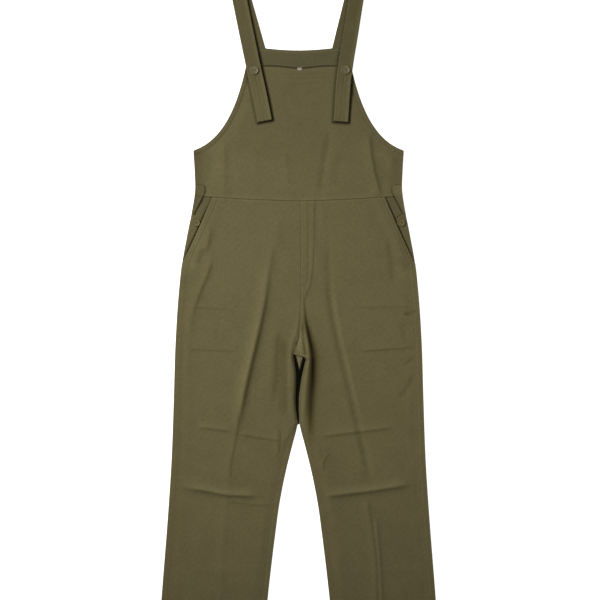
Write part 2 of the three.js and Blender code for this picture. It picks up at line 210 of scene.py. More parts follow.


# The front's creases and folds.
folds = {
    "bibFarLeft": crease(-1.2, 12, 12, (-193, 328), (-199, 251)),
    "bibLeft": crease(1.5, 6, 22, (-164, 354), (-165, 295), (-166, 227)),
    "bibMidLeft": crease(0.6, 8, 25, (-96, 339), (-95, 266)),
    "bibMid": crease(0.7, 5, 20, (-32, 328), (-21, 227)),
    "bibRightA": crease(-1.5, 8, 8, (70, 384), (58, 306), (43, 214)),
    "bibRightB": crease(-0.8, 12, 12, (95, 328), (78, 240)),
    "bibRightFold": crease(
        2.4, 5, 22, (152, 372), (161, 297), (179, 222), ends=(0.2, 0.12), deep=(0.14, 4, 3),
    ),
    "bibSideRight": crease(1.5, 14, 14, (190, 345), (201, 310), (216, 260)),
    "bibSideLeft": crease(-0.8, 10, 10, (-217, 321), (-221, 253)),
    "hipLeft": crease(
        1.8, 7, 15, (-189, 99), (-204, 52), (-217, 22), (-231, -19), (-243, -70), (-250, -110),
        ends=(0.14, 0.7), deep=(0.27, 5, 3.3),
    ),
    "hipLeftTop": crease(
        1.6, 5, 11, (-192, 168), (-200, 125), (-208, 100), ends=(0.4, 0.3), deep=(0.15, 4.5, 3.6),
    ),
    "hipLeftPucker": crease(-1.1, 6, 6, (-205, 112), (-213, 92), (-219, 72)),
    "thighLeftLine": crease(-0.7, 4, 5, (-170, -30), (-176, -60), (-183, -95)),
    "hipRightA": crease(-0.8, 5, 6, (192, 145), (202, 95), (206, 60), (209, 28), deep=(0.06, 0, 4)),
    "hipRightB": crease(-0.8, 4, 5, (225, 94), (232, 76), (239, 58), deep=(0.08, 0, 3.4)),
    "sideLeft": crease(0.9, 8, 16, (-241, -2), (-248, -90), (-254, -227)),
    "thighLeft": crease(
        7, 6.5, 21, (-44, 172), (-52, 140), (-60, 105), (-68, 58), (-76, -2), (-84.5, -46), (-94.5, -90),
        (-115, -178), (-124, -222), (-137, -288), (-153, -376), ends=(0.66, 0.26), deep=(0.32, 5, 4),
    ),
    "thighLeftLow": crease(
        -0.8, 3, 3, (-128, -230), (-135, -296), (-146, -355), (-152, -410), deep=(0.2, 0, 2.5),
    ),
    "shinLeft": crease(1.0, 7, 18, (-138, -284), (-149, -367), (-160, -442), (-170, -574), (-177, -783)),
    "innerThighLeft": crease(-1.8, 14, 14, (-28, -29), (-32, -101), (-39, -218)),
    "crotchLeftTop": crease(
        2.2, 4.5, 6, (-1.8, -20), (-2, -47), (-4, -65), (-9, -83), (-13.4, -96), (-17, -115), (-18.7, -140),
        (-19, -160), ends=(0.3, 0.4),
    ),
    "crotchLeftLow": crease(
        1.3, 7, 5, (-17.5, -115), (-18.7, -140), (-18.9, -171), (-17.8, -201), (-16.7, -234), (-18, -290),
        ends=(0.25, 0.3),
    ),
    "thighInner": crease(-1.6, 8, 8, (-41, -60), (-46, -110), (-50, -180), (-57, -245), deep=(0.08, 0, 4)),
    "thighInnerSoft": crease(
        -0.3, 9, 9, (-34, -62), (-36, -130), (-38, -200), (-34, -275), deep=(0.14, 0, 13),
    ),
    "neckRuck": crease(0.55, 3.5, 3, (-55, 499), (0, 497), (50, 501), deep=(0.07, -3, 2)),
    "neckRuckLow": crease(0.45, 4, 3, (-50, 488), (20, 491), (80, 488), deep=(0.07, -3, 2)),
    "crotchLeftValley": crease(-0.9, 5, 6, (-26, -80), (-27, -160), (-26, -280)),
    "seatLeft": crease(0.7, 8, 18, (-48, 194), (-45, 92)),
    "crotchRight": crease(
        5, 9, 7, (9, -6), (10, -43), (13, -69), (16.6, -87), (19.6, -102), (21, -118), (21.6, -135),
        (20.2, -157), (18, -179), (15.6, -201), (14, -223), (13, -245), (12, -267), (11, -295),
        ends=(0.3, 0.25),
    ),
    "tuft": crease(
        0.8, 5, 5, (4.3, -60), (3.4, -85), (2.2, -105), (1, -118), (0.5, -140), deep=(-0.4, 0, 6),
    ),
    "tuftSide": crease(
        -1, 2.5, 2.5, (10.8, -25), (9.2, -69), (9.7, -87), (11.9, -102), (14.3, -118), (15.5, -128),
        deep=(0.3, 0, 2.6),
    ),
    "tuftEdge": crease(
        -0.5, 2, 2, (2.6, -66), (1.2, -78), (-0.4, -88), (-4, -97), (-7, -106), deep=(0.5, 0, 2.2),
    ),
    "pressedRight": crease(
        -2.4, 6, 8, (61, 207), (65, 119), (66, 35), (77, -51), (106, -178), (130, -278), (148, -359),
        (160, -422), ends=(0.42, 0.14),
    ),
    "besidePressed": crease(1.1, 5, 5, (77, 35), (88, -51), (117, -178), (141, -278)),
    "flySide": crease(0.8, 7, 9, (51, 211), (50, 154)),
    "flyLow": crease(0.8, 8, 12, (33, 139), (42, 48)),
    "hipFoldLeft": crease(0.45, 10, 4, (-248, -15), (-191, -18), (-127, -21), deep=(0.09, -3, 2.2)),
    "thighFoldLeft": crease(0.45, 10, 4, (-252, -108), (-191, -110), (-127, -113), deep=(0.14, -3, 2.2)),
    "hipFoldRight": crease(0.45, 10, 4, (106, -18), (188, -15), (265, -14), deep=(0.12, -3, 2.2)),
    "thighFoldRight": crease(0.9, 10, 4, (122, -113), (197, -108), (265, -102), deep=(0.18, -3, 2.2)),
    "hipPuckerRight": crease(-1.2, 6, 5, (229, -34), (244, -32), (262, -24), deep=(0.26, 0, 4)),
    "hipPuckerLow": crease(-1.0, 9, 8, (229, -45), (234, -75), (241, -110)),
    "thighPuckerRight": crease(-0.9, 3, 3, (260, -126), (245, -135), (231, -146), deep=(0.13, 0, 2.6)),
    "thighPuckerLow": crease(-1.2, 6, 6, (256, -163), (242, -191), (218, -224), deep=(0.06, 0, 5)),
    "upperLeft": crease(1.9, 12, 3.8, (-226, -280), (-184, -284), (-144, -290), deep=(0.14, -3, 2.4)),
    "upperLeftIn": crease(1.1, 8, 3.5, (-142, -293), (-81, -303), (-26, -311), deep=(0.14, -3, 2.4)),
    "kneeLeft": crease(4.6, 15, 4.5, (-272, -410), (-202, -420), (-162, -428), (-122, -430), (-78, -432)),
    "kneeLeftLow": crease(0.5, 6, 4, (-169, -441), (-107, -449), (-48, -453), deep=(0.14, -3, 2.4)),
    "innerLeft": crease(0.8, 5, 9, (-49, -279), (-48, -350)),
    "innerLeftLine": crease(-0.8, 2.5, 2.5, (-40, -282), (-40, -315), (-43, -345), deep=(0.13, 0, 2)),
    "upperRight": crease(1.7, 12, 3.8, (34, -302), (124, -291), (227, -278), deep=(0.14, -3, 2.4)),
    "kneeRight": crease(4.6, 15, 4.5, (47, -434), (102, -427), (159, -420), (203, -413), (258, -404)),
    "shinRightA": crease(
        1.5, 4, 12, (148, -438), (159, -508), (168, -585), (170, -662), (177, -783), ends=(0.06, 0.12),
        deep=(0.12, 3.5, 2.4),
    ),
    "shinRightB": crease(
        1.6, 4, 5, (167, -469), (176, -552), (182, -662), (190, -783), ends=(0.14, 0.12),
        deep=(0.12, 3.5, 2.4),
    ),
    "innerKneeRight": crease(1.0, 3, 4, (66, -335), (56, -352), (49, -378), deep=(0.15, 2.5, 2)),
    "innerRight": crease(1.2, 9, 8, (17, -249), (23, -299), (29, -350)),
    "hemFoldLeft": crease(0.35, 9, 5, (-287, -592), (-184, -596), (-63, -596)),
    "hemFoldRight": crease(0.35, 9, 5, (73, -601), (179, -598), (291, -590)),
}


# Each fold with the points near it, their distances from its line and its strength there.
def foldsNear(x, y):
    for fold in folds.values():
        reach = 3 * max(fold["left"], fold["right"])
        low, high = fold["line"].min(0) - reach, fold["line"].max(0) + reach
        near = (x > low[0]) & (x < high[0]) & (y > low[1]) & (y < high[1])
        if near.any():
            off, share = fromPath(fold["line"], x[near], y[near])
            start, end = fold["ends"]
            yield fold, near, off, smoothstep(0, start, share) * smoothstep(1, 1 - end, share)


def foldHeight(x, y):
    height = np.zeros(x.shape)
    for fold, near, off, taper in foldsNear(x, y):
        spread = np.where(off > 0, fold["left"], fold["right"])
        height[near] += fold["high"] * taper * np.exp(-((np.abs(off) / spread) ** 1.7))
    return height


# Painted shade down beside the steep folds, and a painted highlight where it is below zero.
def foldShade(x, y):
    dark = np.zeros(x.shape)
    for fold, near, off, taper in foldsNear(x, y):
        if fold["deep"]:
            amount, at, wide = fold["deep"]
            dark[near] += amount * smoothstep(0.1, 0.9, taper) * bell(off - at, wide * (0.45 + 0.55 * taper))
    return dark


# Painted shade in the valley right of the crotch: rows of height, middle, darkness and spread on the left
# and right.
crotchValley = [
    (-330, 24, 0, 6, 8), (-300, 24.5, 0.22, 6, 8), (-267, 25.5, 0.52, 6.5, 8), (-245, 26.6, 0.66, 8, 8),
    (-223, 27.3, 0.7, 8.5, 8.6), (-201, 28.8, 0.78, 8.8, 9), (-179, 30.5, 0.84, 8.8, 9.4),
    (-157, 30.6, 0.88, 7.6, 9.8), (-135, 30.6, 0.89, 6, 10), (-118, 28.8, 0.9, 4.8, 9.4),
    (-102, 26.2, 0.9, 4, 8), (-87, 23.3, 0.9, 3.8, 7), (-69, 19.8, 0.88, 3.6, 6), (-52, 16.4, 0.74, 3.4, 4),
    (-36, 14.8, 0.58, 2.7, 2.9), (-14, 13, 0.32, 2.5, 2.5), (15, 11.5, 0, 2.5, 2.5),
]
valleyRows = [through([(row[0], row[k]) for row in crotchValley]) for k in (1, 2, 3, 4)]


def valleyShade(x, y):
    middle, dark, left, right = [row(y) for row in valleyRows]
    off = x - middle
    return dark * np.exp(-((np.abs(off) / np.where(off < 0, left, right)) ** 1.8))


ripples = {"seed": 11, "count": 9, "shortest": 55, "longest": 190, "high": 0.34}


def rippleHeight(x, y):
    rng = np.random.default_rng(ripples["seed"])
    height = np.zeros(np.shape(x))
    for _ in range(ripples["count"]):
        turn, phase = rng.uniform(0, 2 * np.pi, 2)
        wave = rng.uniform(ripples["shortest"], ripples["longest"])
        height += np.sin((x * np.cos(turn) + y * np.sin(turn)) * 2 * np.pi / wave + phase)
    return height * ripples["high"] / 3


# Heights of the laid garment: the back lies on the surface and the front arches over it.
lay = {
    "backTop": 1.2,
    "frontTop": 2.7,  # the front's outer face where it meets the back
    "legLoft": 4.0, "bibLoft": 2.6, "facingLift": 1.4, "sideReach": 34,
    "pocketTuck": 12, "pocketEndY": 66,
    "double": 0.4,  # the rise of cloth turned under
}


def armDistance(x, y):
    away = np.full(x.shape, 1e3)
    near = y > cut["chestY"] - 60
    if near.any():
        off, _ = fromPath(armCurve, np.abs(x[near]), y[near])
        away[near] = np.abs(off)
    return away


def sideDistance(x, y):
    return np.where(y < cut["chestY"], sideHalf(y) - np.abs(x), 1e3)


def pocketLift(x, y):
    beyond = np.abs(x) - (mouthHalf(y) - lay["pocketTuck"])
    low = smoothstep(lay["pocketEndY"] - 40, lay["pocketEndY"] - 6, y)
    return smoothstep(-30, -4, beyond) * low * (1 - smoothstep(232, 262, y))


# The top face of the front, without seams and hems.
def frontHeight(x, y):
    x, y = np.broadcast_arrays(np.asarray(x, float), np.asarray(y, float))
    parted = 1 - smoothstep(cut["gapTopY"] - 12, cut["gapTopY"] + 20, y)
    fromInner = np.where(x > cut["seamX"], x - innerEdge(1, y), innerEdge(-1, y) - x)
    inner = smoothstep(0, 1, np.clip(fromInner, 0, 1e3) / mix(32, 7, smoothstep(-340, -260, y)))
    outer = smoothstep(0, lay["sideReach"], np.minimum(sideDistance(x, y), armDistance(x, y)))
    loft = mix(lay["legLoft"], lay["bibLoft"], smoothstep(150, 300, y))
    top = 1 - 0.6 * smoothstep(cut["bibTopY"] - 60, cut["bibTopY"], y)
    shape = loft * top + foldHeight(x, y) + rippleHeight(x, y)
    return lay["frontTop"] + lay["facingLift"] * pocketLift(x, y) + outer * mix(1, inner, parted) * shape


# A quarter round at an edge: how far the face drops at a distance from it.
def edgeRoll(distance, radius):
    t = 1 - np.clip(distance / radius, 0, 1)
    return -radius * (1 - np.sqrt(np.maximum(0, 1 - t * t)))


def groove(distance, at, depth, width=1.2):
    return -depth * bell(distance - at, width)


# Cloth turned under along an edge, with its soft step reaching outside and inside its width.
def doubled(distance, width, outside, inside):
    return lay["double"] * smoothstep(width + outside, width - inside, distance)


# Grid lines between two edges: crowded steps near each, in millimetres, and a number of even ones between
# them or the shares where they lie.
def gridLines(first, last, middle):
    first, last = np.array(first, float), np.array(last, float)
    t = np.linspace(0, 1, middle + 2)[1:-1] if np.isscalar(middle) else np.array(middle)
    offset = np.concatenate([first, first[-1] * (1 - t) - last[-1] * t, -last[::-1]])
    return np.concatenate([0 * first, t, 1 + 0 * last]), offset


# Points of a panel between left and right edges, functions of y, and top and bottom ones, functions of x or
# plain heights.
def panelPoints(left, right, top, bottom, columns, rows):
    acrossShare, acrossOffset = columns
    downShare, downOffset = rows[0][:, None], rows[1][:, None]
    x = np.zeros((len(rows[0]), len(acrossShare)))
    for _ in range(8):
        high, low = (edge(x) if callable(edge) else edge for edge in (top, bottom))
        y = mix(high, low, downShare) - downOffset + 0 * x
        x = mix(left(y), right(y), acrossShare) + acrossOffset
    return x, y


# Left and right edges at the same half width.
def mirrored(half):
    return (lambda y: -half(y)), half


# Left and right edges between two half widths on one side.
def onSide(sign, inner, outer):
    return [lambda y, half=half: sign * half(y) for half in (inner, outer)[::sign]]


# How far each point of a grid stands above its neighbourhood: ridges lighter from rubbing, hollows darker
# with painted shade.
def relief(z):
    soft = z.copy()
    for _ in range(6):
        pad = np.pad(soft, 2, mode="edge")
        soft = (pad[:-4, 2:-2] + pad[4:, 2:-2] + pad[2:-2, :-4] + pad[2:-2, 4:] + soft) / 5
    return z - soft


def meshPiece(name, points, faces, **values):
    mesh = bpy.data.meshes.new(name)
    mesh.from_pydata((points * mm).tolist(), [], [list(face) for face in faces])
    mesh.polygons.foreach_set("use_smooth", np.ones(len(mesh.polygons), bool))
    for key, value in values.items():
        wide = value.ndim == 2
        held = mesh.attributes.new(key, "FLOAT_VECTOR" if wide else "FLOAT", "POINT")
        held.data.foreach_set("vector" if wide else "value", value.ravel().astype(np.float32))
    mesh.update()
    piece = bpy.data.objects.new(name, mesh)
    scene.collection.objects.link(piece)
    return piece


# A cloth piece on a grid of points in millimetres. weave is each point's place on the flat cloth.
def clothPiece(name, points, weave, shade, wall, ring=False):
    rows, columns = points.shape[:2]
    index = np.arange(rows * columns).reshape(rows, columns)
    ends = [index[0].tolist(), index[-1][::-1].tolist()] if ring else []
    if ring:
        index = np.hstack([index, index[:, :1]])
    corners = index[:-1, :-1], index[1:, :-1], index[1:, 1:], index[:-1, 1:]
    wear = np.zeros((rows, columns)) if ring else relief(points[..., 2])
    piece = meshPiece(
        name, points.reshape(-1, 3), np.stack(corners, axis=-1).reshape(-1, 4).tolist() + ends,
        weave=weave.reshape(-1, 3) * mm, shade=shade.ravel(), wear=wear.ravel(),
    )
    shell = piece.modifiers.new("wall", "SOLIDIFY")
    shell.thickness = wall * mm
    shell.offset = -1
    return piece


# Puts a piece on the garment's one body, in place of the CAD node of its name if it has one.
def settle(piece, look, name=""):
    piece.data.materials.append(look)
    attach(piece, "root")
    if name:
        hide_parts("".join("_" + letter.lower() if letter.isupper() else letter for letter in name))
    return piece


# A panel between left and right edges and top and bottom edges, laid at height(x, y) and stitched along
# lines.
# turn is its grain's, in degrees.
def layPanel(name, edges, columns, rows, height, look, turn=0, wall=0.9, shade=None,
             lines=(), kind="Cloth"):
    x, y = panelPoints(*edges, columns, rows)
    points = np.stack([x, y, height(x, y)], axis=-1)
    dark = shade(x, y) if shade else 0 * x
    stitches = [sewStitches(f"{name}Stitches", height, lines)] if lines else []
    c, s = math.cos(math.radians(turn)), math.sin(math.radians(turn))
    weave = np.stack([x * c + y * s, y * c - x * s, 0 * x], axis=-1)
    piece = settle(clothPiece(name + kind, points, weave, dark, wall), look, name)


stitching = {"pitch": 3.1, "length": 2.2, "width": 0.5, "high": 0.36, "lift": 0.1}


# One mesh of small spindle-shaped stitches along lines on a surface, each the x and the y of its points.
def sewStitches(name, height, lines):
    points, faces = [], []
    for x, y in lines:
        x, y = np.broadcast_arrays(np.asarray(x, float), y)
        line = np.column_stack([x, y, height(x, y) + stitching["lift"]])
        run = runOf(line)
        count = max(1, int(run[-1] // stitching["pitch"]))
        middles = (np.arange(count) + 0.5) * run[-1] / count
        half = stitching["length"] / 2
        start, end = (
            np.stack([np.interp(middles + way * half, run, line[:, k]) for k in range(3)], axis=-1)
            for way in (-1, 1)
        )
        along = unit(end - start)
        across = np.cross(along, (0, 0, 1))
        up = np.cross(across, along) * stitching["high"] / 2
        across = across * stitching["width"] / 2
        middle = (start + end) / 2
        corners = [start, middle + across, middle + up, middle - across, middle - up, end]
        for i in range(count):
            base = len(points)
            points.extend(corner[i] for corner in corners)
            for k in range(4):
                a, b = base + 1 + k, base + 1 + (k + 1) % 4
                faces.extend([(base, a, b), (base + 5, b, a)])
    return settle(meshPiece(name, np.array(points), faces), threadLook)


# A shader value. Sums and products of these add Math nodes, and node() adds any other.
class Wire:
    def __init__(self, tree, socket=None):
        self.tree, self.socket = tree, socket

    def node(self, kind, settings, sockets, out=0):
        made = self.tree.nodes.new(kind)
        for key, value in settings.items():
            setattr(made, key, value)
        for key, value in sockets.items():
            target = made.inputs[key]
            if isinstance(value, Wire):
                self.tree.links.new(value.socket, target)
            else:
                target.default_value = (*value, 1) if target.type == "RGBA" else value
        return Wire(self.tree, made.outputs[out] if made.outputs else None)

    def maths(self, operation, first, second=0.0, clamp=False):
        settings = {"operation": operation, "use_clamp": clamp}
        return self.node("ShaderNodeMath", settings, {0: first, 1: second})

    def __add__(self, other):
        return self.maths("ADD", self, other)

    __radd__ = __add__

    def __sub__(self, other):
        return self.maths("SUBTRACT", self, other)

    def __rsub__(self, other):
        return self.maths("SUBTRACT", other, self)

    def __mul__(self, other):
        return self.maths("MULTIPLY", self, other)

    __rmul__ = __mul__

    def clamped(self):
        return self.maths("ADD", self, 0.0, clamp=True)

    def scaled(self, factor):
        return self.node("ShaderNodeVectorMath", {"operation": "SCALE"}, {0: self, "Scale": factor})

    def blend(self, factor, first, second):
        return self.node("ShaderNodeMix", {"data_type": "RGBA"}, {0: factor, 6: first, 7: second}, 2)

    def attribute(self, name, out="Fac"):
        return self.node("ShaderNodeAttribute", {"attribute_name": name}, {}, out)

    def noise(self, place, scale, detail=2, roughness=0.5, distortion=0):
        return self.node("ShaderNodeTexNoise", {}, {
            "Vector": place, "Scale": scale, "Detail": detail, "Roughness": roughness,
            "Distortion": distortion,
        })

    def bands(self, place, scale, distortion, detailScale=1, direction="DIAGONAL"):
        return self.node("ShaderNodeTexWave", {"bands_direction": direction}, {
            "Vector": place, "Scale": scale, "Distortion": distortion, "Detail Scale": detailScale,
        }, "Fac")

    def bump(self, strength, distance, height):
        sockets = {"Strength": strength, "Distance": distance * mm, "Height": height}
        return self.node("ShaderNodeBump", {}, sockets)


# A material. paint takes a wire and the values given, and returns what its shader's sockets hold.
def makeLook(name, paint, *values):
    look = bpy.data.materials.new(name)
    look.use_nodes = True
    look.node_tree.nodes.clear()
    wire = Wire(look.node_tree)
    shader = wire.node("ShaderNodeBsdfPrincipled", {}, paint(wire, *values))
    wire.node("ShaderNodeOutputMaterial", {}, {"Surface": shader})
    return look


# Cotton twill: diagonal ribs, uneven yarns, a little cloudiness from the wash, ridges lighter from rubbing
# and hollows darker with painted shade. The shade attribute paints shade into it, or a painted highlight
# below zero, and turns it towards the warmer colour of painted shade.
def twill(wire, spec):
    place, shade, wear = wire.attribute("weave", "Vector"), wire.attribute("shade"), wire.attribute("wear")
    flipped = wire.node("ShaderNodeVectorMath", {"operation": "MULTIPLY"}, {0: place, 1: (-1, 1, 1)})
    patterns = {
        "clouds": wire.noise(place, 7),
        "blotches": wire.noise(place, 38, 3),
        "flecks": wire.noise(place, 150),
        "yarns": wire.noise(place, 460, 3, 0.7),
        "ribs": wire.bands(place, 341, 1.4, 1.2),
        "hatch": wire.bands(flipped, 38, 3, 1.6),
    }
    tone = 1
    for key, pattern in patterns.items():
        tone = tone + spec[key] * (pattern - 0.5)
    tone = (tone + spec["rubbed"] * wear) * (1 - 0.995 * shade)
    slubs = (patterns["flecks"] * 2.2 - 0.9).clamped() * 0.5
    colour = wire.blend(slubs, spec["colour"], spec["warm"])
    colour = wire.blend((shade * 4 - 0.2).clamped(), colour, spec["deep"])
    return {
        "Base Color": colour.scaled(tone),
        "Roughness": 0.84 + 0.12 * patterns["yarns"],
        "Specular IOR Level": 0.12,
        "Specular Tint": spec["glow"],
        "Sheen Weight": spec["sheen"],
        "Sheen Tint": spec["glow"],
        "Sheen Roughness": 0.5,
        "Normal": wire.bump(0.6, spec["bump"], patterns["ribs"] * 0.6 + patterns["yarns"] * 0.7),
    }


def thread(wire):
    yarn = wire.noise(wire.node("ShaderNodeTexCoord", {}, {}, "Object"), 900)
    return {
        "Base Color": wire.blend(yarn, (0.118, 0.100, 0.046), (0.172, 0.148, 0.072)),
        "Roughness": 0.7 + 0.2 * yarn, "Specular IOR Level": 0.35, "Sheen Weight": 0.2,
    }


# Satin resin with faint swirls.
def resin(wire, low, high, shine):
    place = wire.node("ShaderNodeTexCoord", {}, {}, "Object")
    swirl, grain = wire.noise(place, 160, 3, 0.5, 2.2), wire.noise(place, 1400)
    return {
        "Base Color": wire.blend((swirl * 1.6 - 0.3).clamped(), low, high),
        "Roughness": 0.38 + 0.16 * grain, "Specular IOR Level": shine, "Normal": wire.bump(0.25, 0.1, grain),
    }


# Ribbed woven tape in a greyed white: partly the tape's colour and partly painted shade for the shade it
# lies in under the back facing.
def tape(wire):
    ribs = wire.bands(wire.attribute("weave", "Vector"), 420, 0.4, direction="X")
    return {
        "Base Color": wire.blend(ribs, (0.31, 0.30, 0.245), (0.39, 0.375, 0.31)),
        "Roughness": 0.6 + 0.15 * ribs, "Specular IOR Level": 0.3, "Normal": wire.bump(0.5, 0.15, ribs),
    }


def paleFloor(wire):
    return {
        "Base Color": (0.92, 0.92, 0.92), "Roughness": 0.9, "Specular IOR Level": 0.1,
        "Emission Color": (1, 1, 1), "Emission Strength": 0.82,
    }


frontCloth = {
    "colour": (0.1455, 0.1236, 0.0583), "warm": (0.1545, 0.1255, 0.0557), "deep": (0.1455, 0.1236, 0.0570),
    "clouds": 0.14, "blotches": 0.16, "flecks": 0.26, "yarns": 0.4, "ribs": 0.11, "hatch": 0.03,
    "rubbed": 0.10, "bump": 0.35, "sheen": 0.07, "glow": (1, 0.93, 0.62),
}
innerCloth = {
    **frontCloth,
    "colour": (0.1085, 0.0946, 0.0468), "warm": (0.113, 0.0946, 0.0449), "deep": (0.1085, 0.0946, 0.0468),
    "clouds": 0.12, "blotches": 0.14, "flecks": 0.24, "yarns": 0.32, "ribs": 0.1, "hatch": 0.02,
    "rubbed": 0.05, "bump": 0.3, "sheen": 0.06,
}
frontTwill = makeLook("oliveTwill", twill, frontCloth)
# The legs' copy takes a warmer colour in painted shade.
legTwill = makeLook("oliveTwillLegs", twill, {**frontCloth, "deep": (0.1480, 0.1175, 0.0465)})
innerTwill = makeLook("oliveTwillInside", twill, innerCloth)
threadLook = makeLook("oliveThread", thread)
buttonLooks = {
    "strap": makeLook("oliveResin", resin, (0.118, 0.098, 0.043), (0.165, 0.140, 0.066), 0.45),
    "side": makeLook("oliveResinSide", resin, (0.117, 0.095, 0.034), (0.154, 0.126, 0.047), 0.2),
}
labelLook = makeLook("whiteTape", tape)
print("looks made")

bpy.ops.mesh.primitive_plane_add(size=40, location=(0, 0, -0.0005))
floor = bpy.context.object
floor.name = "floor"
floor.data.materials.append(makeLook("paleFloor", paleFloor))

# The straps. front holds heights and the strip's middle there, going up, shade the painted shadow beside its
# left and right edges, and dim a painted shade on the strap itself towards the shoulder and at the tail.
strap = {
    "width": 32.4, "thick": 2.2, "wall": 0.8, "turn": 1.9, "clear": 2.2, "backY": 551.0, "creaseTop": 494,
    "endShade": 0.76, "shadeReach": (2.5, 8.5),
    "left": {
        "front": [(391, -74.2), (438, -83.4), (512, -99.4), (658, -129.5), (783.5, -155)],
        "backX": -89.5, "shade": (0.3, 0.78), "dim": (0.22, 0.05),
    },
    "right": {
        "front": [(389.6, 92.8), (497, 101.2), (526, 105.4), (570, 112.8), (658, 126.7), (783.5, 147.4)],
        "backX": 90.2, "shade": (0.42, 0.72), "dim": (0.24, 0.11),
    },
}


# Painted shadow on whatever lies just beside and below the straps.
def strapShade(x, y):
    dark = np.zeros(x.shape)
    for side in sides:
        spec = strap[side]
        middleX = through(spec["front"])
        endY, endX = spec["front"][0]
        low = np.maximum(y, endY)
        lean = np.arctan(middleX(low + 1) - middleX(low))
        endLean = math.atan(float(middleX(endY + 1) - middleX(endY)))
        across = (x - middleX(low)) * np.cos(lean) - np.minimum(y - endY, 0) * np.sin(lean)
        along = (x - endX) * math.sin(endLean) + (y - endY) * math.cos(endLean)
        beside = np.maximum(np.abs(across) - strap["width"] / 2, 0)
        beyond = np.maximum(-along, 0)
        share = beside / (beside + beyond + 1e-6)
        strength = mix(strap["endShade"], np.where(across > 0, spec["shade"][1], spec["shade"][0]), share)
        dark = np.maximum(dark, strength * (1 - smoothstep(*strap["shadeReach"], np.hypot(beside, beyond))))
    return dark


# The back: two legs and a bib, flat on the floor with their inner faces up.
back = {
    "legFlat": (308, 1016), "bibFlat": (459, 338), "facingFlat": (240, 36),
    "facingTop": 2.5, "gapEndY": -275, "gapShade": 1.0, "seatLight": 0.7, "inset": 0.6, "lap": 0.4,
    "steps": [0, 0.6, 1.5, 3, 5, 8],
    "crotchSteps": [0, 1, 2, 3, 4, 5.5, 7, 9, 11.5, 14.5, 18],
    "facingLines": (8.4, 3.6),  # from its top and from its low edge
}


def backHeight(x, y):
    z = lay["backTop"] + 0.12 * rippleHeight(x, y) + edgeRoll(backArm(y) - np.abs(x), 0.8)
    return np.maximum(z, 0.94)


# Painted shade between the legs under the crotch, where the light doesn't reach, with a painted highlight
# where the seat seam shows at its top.
def gapShade(x, y):
    between = smoothstep(26, 18, np.abs(x - 1)) * smoothstep(back["gapEndY"] - 6, back["gapEndY"] + 4, y)
    seat = 5.8 * (y + 155) / 24 - np.abs(x - 2)
    seen = smoothstep(-1, 1.5, seat) * smoothstep(-120, -128, y)
    return between * smoothstep(-70, -100, y) * mix(back["gapShade"], -back["seatLight"], seen)


# Painted shade right under the front bib's top edge, behind the gap.
def bibGapShade(x, y):
    return 0.42 * smoothstep(3, -1.5, y - facingLowAt(x)) * smoothstep(490, 500, y)


for side, sign in sides.items():
    innerHalf = lambda y: np.where(
        y > back["gapEndY"], sign * cut["seamX"] - back["lap"], inseamHalf(y) + back["inset"]
    )
    layPanel(
        f"backLeg{side.title()}",
        (*onSide(sign, innerHalf, lambda y: sideHalf(y) - back["inset"]),
         lambda x: waistAt(x) + back["lap"], cut["hemY"] + 2),
        gridLines(*(back["crotchSteps"], back["steps"])[::sign], 44),
        gridLines(back["steps"], back["steps"], 225),
        backHeight, innerTwill, turn=3 * sign, shade=gapShade,
    )
layPanel(
    "backBib", (*mirrored(backArm), backTopAt, lambda x: waistAt(x) + cut["seamGap"] / 2),
    gridLines(back["steps"], back["steps"], 90),
    gridLines(back["steps"] + [20, 32, 33.5, 35, 36.5, 40, 46], back["steps"], 74),
    backHeight, innerTwill, shade=bibGapShade,
)


def facingHeight(x, y):
    down, up = backTopAt(x) - y, y - facingLowAt(x)
    z = back["facingTop"] + 0.25 * rippleHeight(x * 1.7, y) + 0.3 * smoothstep(9, 7, down)
    z += edgeRoll(down - 0.6, 1.2) + edgeRoll(up, 0.9) + 0.5 * smoothstep(3.2, 1.4, up)
    highLine, lowLine = back["facingLines"]
    return z + groove(down, highLine, 0.25) + groove(up, lowLine, 0.22)


# Painted highlights along the folded edges, and the straps' painted shadow.
def facingShade(x, y):
    low = smoothstep(3, 0.8, y - facingLowAt(x))
    return strapShade(x, y) - 0.17 * bell(backTopAt(x) - y - 5, 3.2) - 0.14 * low


hemX = np.linspace(-112, 112, 90)
layPanel(
    "backFacing", (*mirrored(lambda y: backArm(y) - 1), lambda x: backTopAt(x) - 0.6, facingLowAt),
    gridLines([0, 1, 3], [0, 1, 3], 84),
    gridLines([0, 0.4, 0.9, 1.6, 3, 5, 7, 8, 8.8, 10], [0, 0.4, 0.9, 1.8, 2.6, 3.2, 4], 10),
    facingHeight, innerTwill, shade=facingShade,
    lines=[
        (hemX, backTopAt(hemX) - back["facingLines"][0]), (hemX, facingLowAt(hemX) + back["facingLines"][1]),
    ],
)
print("back laid")

# The front bib, with its turned hem and armholes and the waist seam pressed up into it.
bib = {
    "flat": (465, 300), "hem": 33, "hemLines": (13, 24), "armHem": 9.7, "armLine": 3, "seamAllowance": 8.5,
    "waistLine": 2.2,
    # darkness painted on the bib, lighter below zero: darker armhole hem lines and left side, painted shade
    # beside the tabs and towards the top, painted highlights above the waist seam and by the right armhole
    "dark": {
        "armHem": 0.05, "armHemEdge": 0.24, "armLine": 0.13, "leftSide": 0.27, "waist": -0.12, "top": 0.075,
        "besideTab": (0.12, 0.5), "rightArmhole": -0.08, "most": 0.95,
    },
}


